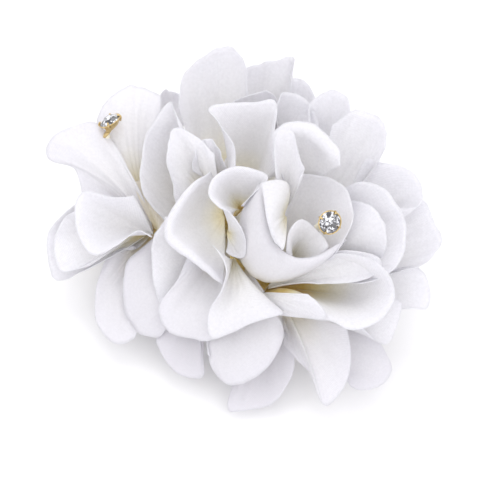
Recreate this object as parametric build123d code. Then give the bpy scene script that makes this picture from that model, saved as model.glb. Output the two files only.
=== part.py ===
from build123d import *
import math
import os

# Flower hair clip: three silk flowers glued on a felt disc, with a sprung alligator clip under it.
# +Z is up, away from the hair, +X is to the wearer's right and the clip lies along X.
# Z = 0 is the level of a table that the clip lies on.

# Felt and glue
FELT_RADIUS = 22.0
FELT_THICKNESS = 1.2
FELT_BOTTOM = 11.0
FELT_CENTRE = (-5.0, 0.0)
FELT_TOP = FELT_BOTTOM + FELT_THICKNESS
GLUE_RADIUS = 6.0
GLUE_HEIGHT = 1.8

# Flowers
STEM_RADIUS = 1.2
STEM_BURIED = 3.0
STEM_STRAIGHT = 14.5
COLLAR_RADIUS = 2.9
COLLAR_HOLE = 1.3
COLLAR_THICKNESS = 0.8
COLLAR_HEIGHTS = {"outer": 4.4, "middle": 7.0, "inner": 9.6, "heart": 12.4}
CLAW_RADIUS = 2.1
SILK_THICKNESS = 0.5
CLAW_WIDTH = 0.22
WIDEST = 0.6
TIP_CUT = 0.96
CUP_AT_CLAW = 55.0
CUP_AT_TIP = 22.0
GAP_BETWEEN_FLOWERS = 0.4

# Rhinestones and their gold cups
STONE_RADIUS = 3.0
TABLE_RADIUS = 1.75
STONE_CROWN = 1.1
STONE_DEPTH = 2.0
CUP_WALL = 0.35
CUP_DEPTH = 2.6
STONE_ABOVE_STEM = 3.6
SOLDER_RADIUS = 1.75

# Alligator clip
CLIP_WIDTH = 8.0
SHEET = 0.8
PLATE_FRONT = -30.0
PLATE_REAR = 15.0
PLATE_BOTTOM = FELT_BOTTOM - SHEET
PIN_X = 9.0
PIN_Z = 6.5
PIN_RADIUS = 1.0
PIN_CLEARANCE = 0.06
EAR_GAP = 0.25
JAW_EAR_RADIUS = 2.3
PLATE_EAR_RADIUS = 2.4
JAW_WIDTH = CLIP_WIDTH - 2 * (SHEET + EAR_GAP)
TEETH = 7
TEETH_SHARE = 0.2
BITE_GAP = 0.1
TAB_END = 0.9
PLATE_CORNER = 3.0
HEAD_RADIUS = 1.6
HEAD_THICKNESS = 0.6
WIRE_RADIUS = 0.3
COIL_RADIUS = 1.45
COIL_TURNS = 5
LEG_END = 3.7

# Each flower: where its stem starts, the way it faces, where its stone sits and the way that
# faces, and its four stamped layers of silk. The stem is straight through the layers and bends
# above them towards the stone; a flower with no stone has a short stem. A petal is its turn about
# the stem, its lean from the stem at the claw and at the tip, its length and its width.
FLOWERS = {
    "right_flower": {
        "root": (4.0, -10.5, 12.2),
        "faces": (0.53, 0.0, 0.848),
        "stone": (23.5, -10.8, 46.2),
        "stone_faces": (0.32, -0.70, 0.64),
        "layers": {
            "heart": [(5, 8, 24, 36, 22), (115, 8, 18, 34, 22), (195, 14, 18, 32, 28),
                      (290, 12, 24, 24, 18)],
            "inner": [(318, 36, 50, 32, 24), (20, 36, 46, 40, 22), (70, 36, 46, 42, 22),
                      (125, 36, 44, 40, 22), (225, 46, 66, 24, 20)],
            "middle": [(335, 56, 66, 40, 22), (5, 54, 60, 44, 20), (45, 54, 62, 46, 20),
                       (90, 54, 64, 46, 22), (245, 66, 82, 28, 24)],
            "outer": [(256, 84, 98, 30, 20), (272, 100, 136, 36, 20), (300, 84, 110, 38, 20),
                      (326, 74, 92, 43, 20), (18, 66, 74, 46, 20), (55, 70, 80, 46, 20),
                      (100, 76, 92, 44, 22)],
        },
    },
    "middle_flower": {
        "root": (-2.0, 7.0, 12.2),
        "faces": (-0.15, 0.10, 0.98),
        "stone": None,
        "layers": {
            "heart": [(10, 8, 16, 30, 18), (85, 10, 18, 34, 18), (140, 12, 16, 32, 16),
                      (215, 14, 26, 24, 22)],
            "inner": [(60, 36, 44, 38, 20), (110, 34, 40, 40, 22), (180, 40, 50, 28, 18),
                      (235, 42, 58, 28, 22), (300, 40, 50, 22, 18)],
            "middle": [(55, 52, 60, 44, 22), (90, 50, 56, 48, 24), (128, 54, 64, 42, 22),
                       (232, 66, 84, 40, 22), (252, 66, 84, 36, 22)],
            "outer": [(68, 74, 96, 42, 22), (104, 84, 128, 42, 22), (138, 78, 102, 38, 20),
                      (224, 86, 108, 40, 18), (246, 84, 126, 42, 20)],
        },
    },
    "left_flower": {
        "root": (-23.0, 8.0, 12.2),
        "faces": (-0.45, 0.38, 0.80),
        "stone": (-37.7, 25.6, 44.8),
        "stone_faces": (-0.43, 0.38, 0.82),
        "layers": {
            "heart": [(28, 16, 30, 32, 20), (150, 8, 22, 30, 22), (265, 12, 22, 26, 20)],
            "inner": [(355, 36, 42, 32, 20), (50, 36, 44, 36, 22), (100, 36, 44, 34, 22),
                      (170, 36, 48, 34, 22), (228, 38, 54, 28, 20)],
            "middle": [(65, 54, 62, 36, 20), (118, 52, 58, 36, 20), (165, 54, 62, 34, 22),
                       (206, 56, 70, 34, 20)],
            "outer": [(90, 76, 98, 37, 20), (135, 66, 80, 35, 20), (185, 72, 90, 34, 20),
                      (225, 84, 122, 36, 18), (252, 94, 126, 34, 20)],
        },
    },
}


def unit(direction):
    return Vector(*direction).normalized()


def flower_axes(flower):
    """The way the flower faces, and the two directions that its turns are counted from."""
    axis = unit(flower["faces"])
    across = (Vector(1, 0, 0) - axis * axis.X).normalized()
    return axis, across, axis.cross(across)


def outline(along):
    """Half-width of a petal along its length, as a share of its widest."""
    if along < WIDEST:
        return CLAW_WIDTH + (1 - CLAW_WIDTH) * math.sin(math.pi / 2 * along / WIDEST)
    return math.sqrt(1 - ((along - WIDEST) / (1 - WIDEST)) ** 2)


def petal(flower, height, turn, lean_claw, lean_tip, length, width, rows=7, columns=5):
    """A cupped sheet of silk that leaves its collar at the claw and leans out to its tip."""
    axis, across, beyond = flower_axes(flower)
    outward = across * math.cos(math.radians(turn)) + beyond * math.sin(math.radians(turn))
    sideways = axis.cross(outward)
    middle = Vector(*flower["root"]) + axis * height + outward * CLAW_RADIUS
    top, bottom = [], []
    last = 0.0
    for row in range(rows):
        along = TIP_CUT * math.sin(math.pi / 2 * row / (rows - 1))
        halfway = math.radians(lean_claw + (lean_tip - lean_claw) * (along + last) / 2)
        middle += (axis * math.cos(halfway) + outward * math.sin(halfway)) * (length * (along - last))
        last = along
        lean = math.radians(lean_claw + (lean_tip - lean_claw) * along)
        inward = axis * math.sin(lean) - outward * math.cos(lean)
        half = width / 2 * outline(along)
        cup = math.radians(CUP_AT_CLAW + (CUP_AT_TIP - CUP_AT_CLAW) * along)
        top_row, bottom_row = [], []
        for column in range(columns):
            angle = cup * (2 * column / (columns - 1) - 1)
            place = middle + sideways * (half * math.sin(angle) / cup)
            place += inward * (half * (1 - math.cos(angle)) / cup)
            normal = inward * math.cos(angle) - sideways * math.sin(angle)
            top_row.append(place + normal * (SILK_THICKNESS / 2))
            bottom_row.append(place - normal * (SILK_THICKNESS / 2))
        top.append(top_row)
        bottom.append(bottom_row)
    upper = Face.make_surface_from_array_of_points(top)
    lower = Face.make_surface_from_array_of_points(bottom)
    rims = []
    for edge in upper.edges():
        partner = min(lower.edges(), key=lambda other: (other.center() - edge.center()).length)
        rims.append(Face.make_surface_from_curves(edge, partner))
    return Solid(Shell([upper, lower, *rims]))


def own_space(shape, name):
    """Keeps the part of a petal that lies on its own flower's side of the other flowers."""
    here = FLOWERS[name]
    for other_name, other in FLOWERS.items():
        if other_name == name:
            continue
        near = Vector(*here["root"]) + unit(here["faces"]) * 22
        far = Vector(*other["root"]) + unit(other["faces"]) * 22
        towards = (near - far).normalized()
        border = Plane(origin=(near + far) * 0.5 + towards * (GAP_BETWEEN_FLOWERS / 2), z_dir=towards)
        kept = split(shape, bisect_by=border, keep=Keep.TOP)
        shape = max(kept.solids(), key=lambda piece: piece.volume)
    return shape


def petal_layer(name, layer):
    """One stamped layer of silk: a collar threaded on the stem, and its petals."""
    flower = FLOWERS[name]
    axis = unit(flower["faces"])
    height = COLLAR_HEIGHTS[layer]
    base = Plane(origin=Vector(*flower["root"]) + axis * height, z_dir=axis)
    collar = base * (Cylinder(COLLAR_RADIUS, COLLAR_THICKNESS) - Cylinder(COLLAR_HOLE, 4))
    silk = collar
    for turn, lean_claw, lean_tip, length, width in flower["layers"][layer]:
        silk += own_space(petal(flower, height, turn, lean_claw, lean_tip, length, width), name)
    return silk


def rod(start, end, radius):
    """A round bar from one point to another."""
    line = Plane(origin=(start + end) * 0.5, z_dir=end - start)
    return line * Cylinder(radius, (end - start).length)


def stem_end(flower):
    return Vector(*flower["stone"]) - unit(flower["stone_faces"]) * STONE_ABOVE_STEM


def stem(name):
    """The wire that the layers of silk are threaded on, cut off level with the felt."""
    flower = FLOWERS[name]
    root = Vector(*flower["root"])
    axis = unit(flower["faces"])
    bend = root + axis * STEM_STRAIGHT
    wire = rod(root - axis * STEM_BURIED, bend, STEM_RADIUS) + Pos(*bend) * Sphere(STEM_RADIUS)
    if flower["stone"]:
        wire += rod(bend, stem_end(flower), STEM_RADIUS)
    floor = Pos(*FELT_CENTRE, FELT_TOP) * Box(200, 200, 200, align=(Align.CENTER, Align.CENTER, Align.MIN))
    return wire & floor


def glue_dab(name):
    """A low dome of set glue round the foot of a stem."""
    x, y, _ = FLOWERS[name]["root"]
    radius = (GLUE_RADIUS ** 2 + GLUE_HEIGHT ** 2) / (2 * GLUE_HEIGHT)
    dome = Pos(x, y, FELT_TOP + GLUE_HEIGHT - radius) * Sphere(radius)
    above = Pos(x, y, FELT_TOP) * Cylinder(30, 30, align=(Align.CENTER, Align.CENTER, Align.MIN))
    return (dome & above) - stem(name)


def stone_seat(name):
    """The plane of a stone's girdle."""
    flower = FLOWERS[name]
    return Plane(origin=Vector(*flower["stone"]), z_dir=unit(flower["stone_faces"]))


def rhinestone(name):
    girdle = RegularPolygon(STONE_RADIUS, 8)
    table = Pos(0, 0, STONE_CROWN) * RegularPolygon(TABLE_RADIUS, 8)
    culet = Pos(0, 0, -STONE_DEPTH) * RegularPolygon(0.25, 8)
    return stone_seat(name) * (loft([girdle, table]) + loft([culet, girdle]))


def gold_cup(name):
    """A cone-shaped cup with four prongs over the edge of the stone, soldered to the stem."""
    outer = STONE_RADIUS + CUP_WALL
    body = Pos(0, 0, -CUP_DEPTH / 2) * Cone(1.4, outer, CUP_DEPTH)
    for turn in range(4):
        prong = Rot(0, 0, 45 + 90 * turn) * Pos(outer - 0.35, 0, 0.15) * Box(0.9, 0.8, 0.9)
        body += prong
    hollow = loft([Pos(0, 0, -STONE_DEPTH - 0.1) * Circle(0.45), Circle(STONE_RADIUS + 0.05)])
    hollow += Pos(0, 0, 0.2) * Cylinder(STONE_RADIUS - 0.02, 0.4)
    cup = stone_seat(name) * (body - hollow)
    solder = Pos(*stem_end(FLOWERS[name])) * Sphere(SOLDER_RADIUS)
    return cup + solder - stem(name) - rhinestone(name)


def felt_backing():
    return Pos(*FELT_CENTRE, FELT_BOTTOM + FELT_THICKNESS / 2) * Cylinder(FELT_RADIUS, FELT_THICKNESS)


def pair_of_ears(points, radius, y_middle):
    """Two flat ears with round ends about the pin, one on each side of the clip."""
    web = Polygon(*points, align=None) + Pos(PIN_X, PIN_Z) * Circle(radius)
    ear = extrude(Plane.XZ * web, amount=SHEET / 2, both=True)
    return Pos(0, y_middle, 0) * ear + Pos(0, -y_middle, 0) * ear


def crosswise(radius, length):
    """A round bar on the hinge line."""
    return Pos(PIN_X, 0, PIN_Z) * Rot(90, 0, 0) * Cylinder(radius, length)


def upper_plate():
    length = PLATE_REAR - PLATE_FRONT
    middle = (PLATE_REAR + PLATE_FRONT) / 2
    flat = Pos(middle, 0, PLATE_BOTTOM + SHEET / 2) * Box(length, CLIP_WIDTH, SHEET)
    flat = fillet(flat.edges().filter_by(Axis.Z), PLATE_CORNER)
    level = PLATE_BOTTOM + SHEET / 2
    web = [(PIN_X - 5, level), (PIN_X - 2, PIN_Z - 1), (PIN_X + 2, PIN_Z - 1), (PIN_X + 4, level)]
    ears = pair_of_ears(web, PLATE_EAR_RADIUS, (CLIP_WIDTH - SHEET) / 2)
    return flat + ears - crosswise(PIN_RADIUS, 2 * CLIP_WIDTH)


def lower_jaw():
    """A bowed, toothed strip with two ears on the pin and a thumb tab behind it."""
    level = PIN_Z - JAW_EAR_RADIUS - 0.7
    rib = Spline((PLATE_FRONT + 0.5, PLATE_BOTTOM - 1.6), (PLATE_FRONT + 7, 6.6), (-12, 4.3),
                 (PIN_X - 5, level), (PIN_X + 3, level - 0.3), (PIN_X + 16, TAB_END))
    strip = extrude(Plane.XZ * trace(rib, line_width=SHEET), amount=JAW_WIDTH / 2, both=True)
    web = [(PIN_X - 6, level), (PIN_X - 2, PIN_Z), (PIN_X + 2, PIN_Z), (PIN_X + 4, level - 0.4)]
    jaw = strip + pair_of_ears(web, JAW_EAR_RADIUS, (JAW_WIDTH - SHEET) / 2)
    for number in range(TEETH):
        foot = rib @ (TEETH_SHARE * (number + 0.5) / TEETH)
        point = (foot.X, PLATE_BOTTOM - BITE_GAP)
        shape = Polygon((foot.X - 0.6, foot.Y), (foot.X + 0.6, foot.Y), point, align=None)
        tooth = extrude(Plane.XZ * shape, amount=SHEET / 2, both=True)
        for side in (-1, 1):
            jaw += Pos(0, side * (JAW_WIDTH - SHEET) / 2, 0) * tooth
    return jaw - crosswise(PIN_RADIUS + PIN_CLEARANCE, 2 * CLIP_WIDTH)


def hinge_pin():
    """A rivet, with a flat head outside each of the plate's ears."""
    shaft = crosswise(PIN_RADIUS, CLIP_WIDTH)
    head = crosswise(HEAD_RADIUS, HEAD_THICKNESS)
    for side in (-1, 1):
        shaft += Pos(0, side * (CLIP_WIDTH + HEAD_THICKNESS) / 2, 0) * head
    return shaft


def torsion_spring():
    """A coil round the pin, with one leg under the plate and one on the thumb tab."""
    pitch = 2 * WIRE_RADIUS * 1.12
    coil_length = pitch * COIL_TURNS
    path = Helix(pitch, coil_length, COIL_RADIUS)
    section = Plane(origin=path @ 0, z_dir=path % 0) * Circle(WIRE_RADIUS)
    coil = sweep(section, path, is_frenet=True)
    coil = Pos(PIN_X, coil_length / 2, PIN_Z) * Rot(90, 0, 0) * coil
    side = coil_length / 2
    upper = PLATE_BOTTOM - WIRE_RADIUS - 0.05
    for y, foot in ((side, Vector(PIN_X + 5, side, upper)), (-side, Vector(PIN_X + 6.5, -side, LEG_END))):
        coil += rod(Vector(PIN_X + COIL_RADIUS, y, PIN_Z), foot, WIRE_RADIUS)
    return coil


PARTS = {
    "felt_backing": felt_backing(),
    "clip_upper_plate": upper_plate(),
    "clip_lower_jaw": lower_jaw(),
    "clip_hinge_pin": hinge_pin(),
    "clip_spring": torsion_spring(),
}
for flower_name in FLOWERS:
    PARTS[f"{flower_name}_stem"] = stem(flower_name)
    PARTS[f"{flower_name}_glue"] = glue_dab(flower_name)
    if FLOWERS[flower_name]["stone"]:
        PARTS[f"{flower_name}_rhinestone"] = rhinestone(flower_name)
        PARTS[f"{flower_name}_gold_cup"] = gold_cup(flower_name)
    for layer_name in COLLAR_HEIGHTS:
        PARTS[f"{flower_name}_{layer_name}_petals"] = petal_layer(flower_name, layer_name)

# The origin is under the middle of the whole spray, at the level of the table.
boxes = [shape.bounding_box() for shape in PARTS.values()]
low_x, high_x = min(box.min.X for box in boxes), max(box.max.X for box in boxes)
low_y, high_y = min(box.min.Y for box in boxes), max(box.max.Y for box in boxes)
to_origin = Pos(-(low_x + high_x) / 2, -(low_y + high_y) / 2, -min(box.min.Z for box in boxes))
print("moved to the origin by", to_origin.position)

os.makedirs("parts", exist_ok=True)
for part_name, shape in PARTS.items():
    export_step(to_origin * shape, f"parts/{part_name}.step")
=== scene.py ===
import math

import bmesh
import bpy
from mathutils import Matrix, Vector, noise


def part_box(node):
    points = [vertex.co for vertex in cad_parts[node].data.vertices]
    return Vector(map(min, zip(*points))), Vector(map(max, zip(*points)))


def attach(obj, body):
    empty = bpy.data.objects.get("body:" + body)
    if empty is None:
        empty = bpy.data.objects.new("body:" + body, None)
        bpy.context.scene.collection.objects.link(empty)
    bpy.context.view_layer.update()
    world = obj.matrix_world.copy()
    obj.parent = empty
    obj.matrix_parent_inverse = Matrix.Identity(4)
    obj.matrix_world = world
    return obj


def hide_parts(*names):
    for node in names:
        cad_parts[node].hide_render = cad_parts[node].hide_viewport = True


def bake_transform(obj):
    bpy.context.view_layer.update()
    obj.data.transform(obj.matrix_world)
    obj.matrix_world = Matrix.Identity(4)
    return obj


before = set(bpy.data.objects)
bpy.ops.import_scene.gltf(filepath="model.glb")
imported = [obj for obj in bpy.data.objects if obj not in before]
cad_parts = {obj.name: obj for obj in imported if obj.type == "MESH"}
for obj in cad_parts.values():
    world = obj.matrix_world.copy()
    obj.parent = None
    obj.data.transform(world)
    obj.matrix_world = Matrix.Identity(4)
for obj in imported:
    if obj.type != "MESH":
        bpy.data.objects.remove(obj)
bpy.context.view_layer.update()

# ---------------------------------------------------------------- places
# The model is made in millimetres about the felt and the clip, as the CAD is, and moved at the end
# by the same amount as the CAD, which the hinge pin gives.
MM = 0.001
PIN = Vector((9.0, 0.0, 6.5))
pin_low, pin_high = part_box("clip_hinge_pin")
SHIFT = (Vector(pin_low) + Vector(pin_high)) / 2 / MM - PIN

# The petals that are seen are laid out as they look from an eye above and in front of the spray:
# right, up and out towards the eye, in millimetres.
ELEVATION = math.radians(55.0)
EYE_DISTANCE = 504.0
AIM = Vector((-0.84, 12.9, 28.0))

FLOWERS = {
    "right_flower": (Vector((4.0, -10.5, 12.2)), Vector((0.53, 0.0, 0.848)).normalized()),
    "middle_flower": (Vector((-2.0, 7.0, 12.2)), Vector((-0.15, 0.10, 0.98)).normalized()),
    "left_flower": (Vector((-23.0, 8.0, 12.2)), Vector((-0.45, 0.38, 0.80)).normalized()),
}
COLLAR_HEIGHTS = {"outer": 4.4, "middle": 7.0, "inner": 9.6, "heart": 12.4}
CLAW_RADIUS = 2.1


def from_eye(right, up, out):
    """A point given as it looks from the eye, in the model's own axes."""
    near = (EYE_DISTANCE + AIM.z - out) / EYE_DISTANCE
    x = AIM.x + (right - AIM.x) * near
    y = AIM.y + (up - AIM.y) * near
    sine, cosine = math.sin(ELEVATION), math.cos(ELEVATION)
    return Vector((x, y * sine - out * cosine, y * cosine + out * sine))


def smooth(low, high, value):
    t = min(1.0, max(0.0, (value - low) / (high - low)))
    return t * t * (3 - 2 * t)


# ---------------------------------------------------------------- node materials
class Material:
    """A small helper that adds and joins shader nodes."""

    def __init__(self, name):
        self.data = bpy.data.materials.new(name)
        self.data.use_nodes = True
        self.tree = self.data.node_tree
        self.shader = self.tree.nodes["Principled BSDF"]
        self.output = self.tree.nodes["Material Output"]

    def node(self, kind, inputs=None, **settings):
        made = self.tree.nodes.new(kind)
        for key, value in settings.items():
            setattr(made, key, value)
        for key, value in (inputs or {}).items():
            if isinstance(value, bpy.types.NodeSocket):
                self.tree.links.new(value, made.inputs[key])
            else:
                made.inputs[key].default_value = value
        return made

    def set(self, **inputs):
        for key, value in inputs.items():
            socket = self.shader.inputs[key.replace("_", " ")]
            if isinstance(value, bpy.types.NodeSocket):
                self.tree.links.new(value, socket)
            else:
                socket.default_value = value

    def attribute(self, name):
        return self.node("ShaderNodeAttribute", attribute_name=name).outputs["Fac"]

    def math(self, operation, first, second=0.0):
        return self.node("ShaderNodeMath", {0: first, 1: second}, operation=operation).outputs[0]

    def ramp(self, value, *stops):
        made = self.node("ShaderNodeValToRGB", {"Fac": value})
        elements = made.color_ramp.elements
        while len(elements) < len(stops):
            elements.new(0.5)
        for element, (position, colour) in zip(elements, stops):
            element.position = position
            element.color = (*colour, 1.0)
        return made.outputs["Color"]

    def mix(self, share, first, second, blend="MIX"):
        made = self.node("ShaderNodeMix", data_type="RGBA", blend_type=blend)
        for index, value in ((0, share), (6, first), (7, second)):
            if isinstance(value, bpy.types.NodeSocket):
                self.tree.links.new(value, made.inputs[index])
            else:
                made.inputs[index].default_value = value if index == 0 else (*value, 1.0)
        return made.outputs[2]

    def scaled(self, vector, scale):
        return self.node("ShaderNodeMapping", {"Vector": vector, "Scale": scale}).outputs[0]

    def place(self):
        """Places in millimetres in the object's own space."""
        where = self.node("ShaderNodeTexCoord").outputs["Object"]
        return self.scaled(where, (1 / MM, 1 / MM, 1 / MM))

    def noise(self, size, detail=2.0, rough=0.5, vector=None):
        """Noise whose features are about so many millimetres across."""
        where = vector or self.place()
        inputs = {"Vector": where, "Scale": 1.0 / size, "Detail": detail, "Roughness": rough}
        return self.node("ShaderNodeTexNoise", inputs).outputs["Fac"]

    def bump(self, height, depth, strength=1.0, normal=None):
        """Bump of so many millimetres."""
        inputs = {"Height": height, "Distance": depth * MM, "Strength": strength}
        if normal:
            inputs["Normal"] = normal
        return self.node("ShaderNodeBump", inputs).outputs[0]


THREAD_PITCH = 0.55


def silk_material():
    """Stiffened white silk: fine plain weave, cream towards the claw, lit through, with painted
    lavender-grey shade on petals that lie in shadow.
    """
    m = Material("silk")
    along = m.attribute("along")
    deep = m.attribute("deep")
    dusk = m.attribute("dusk")
    cloth = m.node("ShaderNodeUVMap", uv_map="cloth").outputs[0]
    threads = m.node("ShaderNodeSeparateXYZ", {0: cloth})
    turn = 2 * math.pi / THREAD_PITCH
    warp = m.math("SINE", m.math("MULTIPLY", threads.outputs[0], turn))
    weft = m.math("SINE", m.math("MULTIPLY", threads.outputs[1], turn))
    weave = m.math("MULTIPLY", warp, weft)
    slub = m.noise(0.75, 3.0, 0.65)
    veins = m.noise(1.0, 2.0, 0.5, m.scaled(cloth, (0.5, 0.07, 1.0)))
    crease = m.noise(5.0, 2.0, 0.5)
    cloudy = m.noise(14.0, 2.0, 0.5)
    tint = m.ramp(m.math("ADD", along, m.math("MULTIPLY", m.math("SUBTRACT", cloudy, 0.5), 0.25)),
                  (0.02, (0.82, 0.62, 0.20)), (0.20, (0.89, 0.80, 0.50)), (0.40, (0.90, 0.875, 0.785)),
                  (0.58, (0.90, 0.893, 0.893)), (1.0, (0.89, 0.885, 0.921)))
    thread_shade = m.math("ADD", m.math("MULTIPLY", weave, 0.05), m.math("MULTIPLY", slub, 0.22))
    shade = m.math("ADD", thread_shade, 0.885)
    grey = m.node("ShaderNodeCombineColor", {0: shade, 1: shade, 2: shade}).outputs[0]
    fine = m.mix(1.0, tint, grey, "MULTIPLY")
    # The mix towards lavender grey is painted shade, as strong as each petal's dusk value.
    colour = m.mix(dusk, m.mix(deep, fine, (0.86, 0.68, 0.24)), (0.76, 0.74, 0.79))
    height = m.math("ADD", m.math("MULTIPLY", weave, 0.5), m.math("MULTIPLY", slub, 0.8))
    normal = m.bump(height, 0.08, 0.6, m.bump(veins, 0.5, 0.5, m.bump(crease, 0.6, 0.4)))
    m.set(Base_Color=colour, Normal=normal, Sheen_Weight=0.25, Sheen_Roughness=0.45,
          Roughness=m.math("ADD", m.math("MULTIPLY", slub, 0.15), 0.58))
    m.shader.inputs["Specular IOR Level"].default_value = 0.35
    glow = m.node("ShaderNodeBsdfTranslucent", {"Color": colour, "Normal": normal})
    both = m.node("ShaderNodeMixShader", {0: 0.32, 1: m.shader.outputs[0], 2: glow.outputs[0]})
    m.tree.links.new(both.outputs[0], m.output.inputs[0])
    return m.data


def felt_material():
    m = Material("felt")
    fibres = m.noise(0.35, 4.0, 0.7)
    tufts = m.noise(2.5, 3.0, 0.6)
    share = m.ramp(fibres, (0.3, (0, 0, 0)), (0.7, (1, 1, 1)))
    colour = m.mix(share, (0.70, 0.69, 0.66), (0.86, 0.855, 0.84))
    normal = m.bump(fibres, 0.18, 0.8, m.bump(tufts, 0.5, 0.6))
    m.set(Base_Color=colour, Roughness=0.95, Sheen_Weight=0.5, Normal=normal)
    return m.data


def glue_material():
    m = Material("glue")
    haze = m.noise(2.0, 2.0, 0.5)
    colour = m.mix(haze, (0.86, 0.80, 0.62), (0.93, 0.90, 0.80))
    m.set(Base_Color=colour, Roughness=m.math("ADD", m.math("MULTIPLY", haze, 0.2), 0.15),
          Subsurface_Weight=0.3, Subsurface_Scale=0.002, Coat_Weight=0.4, Normal=m.bump(haze, 0.3, 0.3))
    return m.data


def tape_material():
    """Crepe paper tape wound round the stem wire."""
    m = Material("stem_wire")
    crepe = m.noise(0.25, 3.0, 0.6)
    stain = m.noise(3.0, 2.0, 0.5)
    colour = m.mix(stain, (0.80, 0.74, 0.55), (0.90, 0.87, 0.76))
    m.set(Base_Color=colour, Roughness=0.8, Normal=m.bump(crepe, 0.12, 0.7))
    return m.data


def metal_material(name, light, dark, rough, brushed=0.25):
    """Plated metal with fine drawn lines and dull patches."""
    m = Material(name)
    lines = m.noise(brushed, 3.0, 0.6, m.scaled(m.place(), (0.12, 3.0, 3.0)))
    patches = m.noise(2.2, 3.0, 0.6)
    colour = m.mix(m.ramp(patches, (0.35, (0, 0, 0)), (0.75, (1, 1, 1))), light, dark)
    roughness = m.math("ADD", m.math("MULTIPLY", lines, 0.16), m.math("MULTIPLY", patches, 0.12))
    m.set(Base_Color=colour, Metallic=1.0, Roughness=m.math("ADD", roughness, rough),
          Normal=m.bump(lines, 0.02, 0.5, m.bump(patches, 0.05, 0.3)))
    return m.data


def stone_material():
    """Foil-backed crystal: each facet shows a painted mosaic of bright and dark reflections, standing for
    the facets below it.
    """
    m = Material("stone")
    where = m.place()

    def mosaic(scale):
        cells = m.node("ShaderNodeTexVoronoi", {"Vector": where, "Scale": scale}, feature="F1")
        return m.node("ShaderNodeSeparateColor", {0: cells.outputs["Color"]}).outputs

    large_painted_glints = m.math("MULTIPLY", mosaic(1.35)[0], 0.6)
    small_painted_glints = m.math("MULTIPLY", mosaic(2.9)[1], 0.4)
    value = m.math("ADD", large_painted_glints, small_painted_glints)
    # The black-to-white ramp is painted reflection: bright and dark facet glints painted into the colour.
    colour = m.ramp(value, (0.40, (0.012, 0.012, 0.016)), (0.54, (0.08, 0.08, 0.09)),
                    (0.63, (0.55, 0.56, 0.59)), (0.78, (0.95, 0.96, 1.0)))
    m.set(Base_Color=colour, Metallic=0.55, Roughness=0.06, Coat_Weight=1.0, Coat_Roughness=0.02)
    m.shader.inputs["Coat IOR"].default_value = 1.7
    return m.data


def floor_material():
    m = Material("floor")
    grain = m.noise(3.0, 2.0, 0.5)
    m.set(Base_Color=m.mix(grain, (0.93, 0.93, 0.935), (0.95, 0.95, 0.955)), Roughness=0.9)
    return m.data


SILK = silk_material()
FELT = felt_material()
GLUE = glue_material()
TAPE = tape_material()
STONE = stone_material()
GOLD = metal_material("gold", (0.72, 0.53, 0.24), (0.44, 0.31, 0.11), 0.16)
CLIP_STEEL = metal_material("clip_steel", (0.78, 0.78, 0.79), (0.60, 0.60, 0.62), 0.20)
PIN_STEEL = metal_material("pin_steel", (0.72, 0.72, 0.74), (0.52, 0.52, 0.54), 0.24)
SPRING_STEEL = metal_material("spring_wire", (0.66, 0.67, 0.70), (0.44, 0.45, 0.48), 0.22, 0.12)


# ---------------------------------------------------------------- pieces
def piece(name, mesh, material, replaced, body="spray"):
    """Puts a finished mesh, made in the model's millimetres, in place of a CAD node."""
    mesh.transform(Matrix.Scale(MM, 4) @ Matrix.Translation(SHIFT))
    made = bpy.data.objects.new(name, mesh)
    bpy.context.scene.collection.objects.link(made)
    mesh.materials.append(material)
    for face in mesh.polygons:
        face.use_smooth = True
    if body:
        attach(made, body)
    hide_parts(replaced)
    return made


def ring_frame(axis):
    """Two directions square to an axis, the first one level."""
    across = (Vector((1, 0, 0)) - axis * axis.x).normalized()
    return across, axis.cross(across)


# ---------------------------------------------------------------- silk petals
ACROSS, ALONG = 50, 36
CLAW_ROWS = 6
HUB_RADIUS = 1.0
SILK_THICKNESS = 0.18
COLLAR_RINGS = (1.35, 2.0, 2.6, 3.0)
COLLAR_STEPS = 40
# The lowest that silk lies, and how far above that it begins to be pressed up.
TABLE = 0.5
TABLE_REACH = 8


def curve_through(points, share):
    """A smooth curve through the points, at a share of its way."""
    spans = len(points) - 1
    index = min(int(share * spans), spans - 1)
    t = share * spans - index
    b, c = points[index], points[index + 1]
    a = points[index - 1] if index else b * 2 - c
    d = points[index + 2] if index + 2 <= spans else c * 2 - b
    square = (a * 2 - b * 5 + c * 4 - d) * t ** 2
    cube = (b * 3 - a - c * 3 + d) * t ** 3
    return 0.5 * (b * 2 + (c - a) * t + square + cube)


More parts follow.
